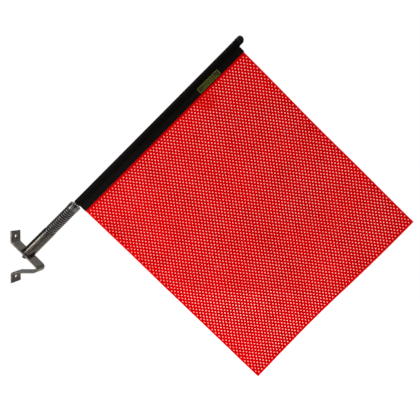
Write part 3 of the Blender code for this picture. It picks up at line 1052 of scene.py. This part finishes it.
def sleeve_label(finish):
    """Woven patch that is puckered along its two long edges, where it is sewn on."""
    low, high = pole_box("sleeve_label")
    centre = (low + high) / 2
    size = high - low
    back = low.y + 0.45 * MM
    vertices = []
    for row in range(LABEL_STEPS + 1):
        for column in range(LABEL_COLUMNS + 1):
            across = 2 * column / LABEL_COLUMNS - 1
            up = 2 * row / LABEL_STEPS - 1
            from_edge = min((1 - abs(across)) * size.x / 2, (1 - abs(up)) * size.z / 2)
            rise = LABEL_RISE * math.sqrt(eased(from_edge, -0.4 * MM, 0.9 * MM))
            pull = math.sin(2 * math.pi * up * size.z / 2 / STITCH_PITCH)
            pucker = 0.05 * MM * pull * eased(abs(across), 0.5, 1.0)
            wander = 0.10 * MM * noise.noise(Vector((across, 0.0, up * 5.0)))
            fly = centre.x + across * size.x / 2
            height = centre.z + up * size.z / 2
            vertices.append((fly, back - rise + pucker + wander, height))
    in_row = LABEL_COLUMNS + 1
    faces = []
    for row in range(LABEL_STEPS):
        for column in range(LABEL_COLUMNS):
            here = row * in_row + column
            faces.append((here, here + 1, here + in_row + 1, here + in_row))
    made = add_piece("sleeve_label_patch", vertices, faces, finish)
    thick = made.modifiers.new("cloth", "SOLIDIFY")
    thick.thickness = LABEL_THICKNESS
    thick.offset = 0.0
    apply_modifiers(made)
    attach(made, "flag")
    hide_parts("sleeve_label")
    return made


# ---- room

def add_area_light(name, place, target, size, power):
    data = bpy.data.lights.new(name, "AREA")
    data.shape = "RECTANGLE"
    data.size, data.size_y = size
    data.energy = power
    lamp = bpy.data.objects.new(name, data)
    bpy.context.scene.collection.objects.link(lamp)
    lamp.location = place
    lamp.rotation_euler = (Vector(target) - Vector(place)).to_track_quat("-Z", "Y").to_euler()


def add_world():
    """White to the camera, and a soft grey room to everything that reflects it."""
    world = bpy.data.worlds.new("studio")
    bpy.context.scene.world = world
    world.use_nodes = True
    tree = world.node_tree
    background = tree.nodes["Background"]
    direction = add_node(tree, "TexCoord").outputs["Generated"]
    height = add_node(tree, "SeparateXYZ", {"Vector": direction}).outputs["Z"]
    share = in_range(tree, height, -1.0, 1.0)
    greys = ((0.30, 0.03), (0.47, 0.15), (0.80, 0.24))
    room = ramp(tree, share, [(position, (grey, grey, grey)) for position, grey in greys])
    seen = add_node(tree, "LightPath").outputs["Is Camera Ray"]
    tree.links.new(mixed(tree, seen, room, (1.0, 1.0, 1.0)), background.inputs["Color"])


def add_floor():
    """It ends a little in front of the object, so that the steel doesn't mirror it too brightly."""
    corners = ((-0.9, -0.6), (1.7, -0.6), (1.7, 1.4), (-0.9, 1.4))
    vertices = [(x, y, FLOOR_HEIGHT) for x, y in corners]
    floor = add_piece("floor", vertices, [(0, 1, 2, 3)], floor_material(), Matrix.Identity(4))


def add_camera():
    """It looks almost straight at the flag, from far enough for the whole flag to be in view."""
    data = bpy.data.cameras.new("camera")
    data.sensor_width = 36.0
    data.lens = 23.574
    camera = bpy.data.objects.new("camera", data)
    bpy.context.scene.collection.objects.link(camera)
    yaw = 0.0012
    pitch = -0.0090
    roll = -0.0012
    turn = Matrix.Rotation(-yaw, 4, "Z") @ Matrix.Rotation(math.pi / 2 + pitch, 4, "X")
    place = Matrix.Translation((0.3980, -0.5614, 0.0984))
    camera.matrix_world = place @ turn @ Matrix.Rotation(roll, 4, "Z")
    bpy.context.scene.camera = camera


def add_studio():
    """Panels that the round steel mirrors as stripes, low panels behind it, and soft room light."""
    add_world()
    add_floor()
    # Name, direction from the steel's middle, distance, width and height, and watts
    mirrored = (
        ("strip", (-0.660, -0.740, 0.070), 1.7, (0.60, 0.35), 12.0),
        ("beside strip", (-0.440, -0.885, -0.130), 1.7, (0.32, 0.3), 1.6),
        ("low front", (-0.186, -0.907, -0.378), 1.2, (0.73, 0.22), 1.5),
    )
    for name, direction, distance, size, power in mirrored:
        place = STEEL_MIDDLE + Vector(direction) * distance
        add_area_light(name, place, STEEL_MIDDLE, size, power)
    # Name, place, what it is aimed at, width and height, and watts
    around = (
        ("back right", (1.03, 1.47, -0.05), STEEL_MIDDLE, (0.5, 0.35), 0.65),
        ("back left", (-1.03, 1.44, 0.34), STEEL_MIDDLE, (0.5, 0.35), 0.4),
        ("key", (-0.7, -1.6, 1.5), FLAG_MIDDLE, (0.8, 0.8), 15.5),
        ("fill", (1.7, -1.6, 0.5), FLAG_MIDDLE, (1.4, 1.4), 4.0),
        ("overhead", (0.4, 0.0, 2.4), FLAG_MIDDLE, (2.5, 2.5), 12.0),
        ("back", (0.6, 1.9, 1.1), FLAG_MIDDLE, (1.6, 1.6), 7.0),
    )
    for name, place, target, size, power in around:
        add_area_light(name, place, target, size, power)
    view = bpy.context.scene.view_settings
    view.view_transform = "Standard"
    view.look = "None"


# ---- whole part

def steel_materials():
    """The bracket's, holder's, weld's, spring's and neck's steel."""
    bracket_steel = steel(
        "bracket_steel",
        dark=(0.070, 0.062, 0.052),
        light=(0.135, 0.125, 0.110),
        roughness=0.36,
        stain=(0.050, 0.036, 0.025),
        wear=0.3,
    )
    holder_steel = steel(
        "holder_steel",
        dark=(0.046, 0.042, 0.036),
        light=(0.066, 0.060, 0.051),
        roughness=0.22,
        grain=(1.0, 1.0, 0.05),
        stain=(0.050, 0.041, 0.032),
    )
    weld_steel = steel("weld_steel", (0.030, 0.026, 0.022), (0.075, 0.066, 0.056), 0.40)
    spring_steel = steel(
        "spring_steel",
        dark=(0.080, 0.073, 0.072),
        light=(0.140, 0.128, 0.127),
        roughness=0.26,
        stain=(0.072, 0.060, 0.053),
    )
    neck_steel = steel("neck_steel", (0.30, 0.29, 0.27), (0.45, 0.44, 0.41), 0.32)
    return bracket_steel, holder_steel, weld_steel, spring_steel, neck_steel


def build():
    """Every piece of the part, from the bracket up to the flag."""
    bracket_steel, holder_steel, weld_steel, spring_steel, neck_steel = steel_materials()
    pole_black = moulded("pole_black", (0.004, 0.0035, 0.0035), 0.38, 0.25, 0.3 * MM)
    cap_black = moulded("cap_black", (0.0018, 0.0018, 0.0019), 0.32, 0.18, 0.5 * MM)
    thread = thread_material()

    bracket(bracket_steel)
    holder_tube(holder_steel)
    foot_weld(weld_steel)
    anchor_stud(holder_steel)
    coil_spring(spring_steel)
    top_collar(spring_steel)
    neck_rod(neck_steel)
    pole_tube(pole_black)
    tip_cap(cap_black)
    pin = frame["nodes"]["pole_pin"]
    pin.data.materials.clear()
    pin.data.materials.append(neck_steel)

    mesh_panel(net_material())
    cover, cover_size = sleeve(sleeve_material())
    sewn_on = sleeve_stitching(thread)
    sewn_on.append(sleeve_label(label_material(*pole_box("sleeve_label"))))


build()
add_camera()
add_studio()
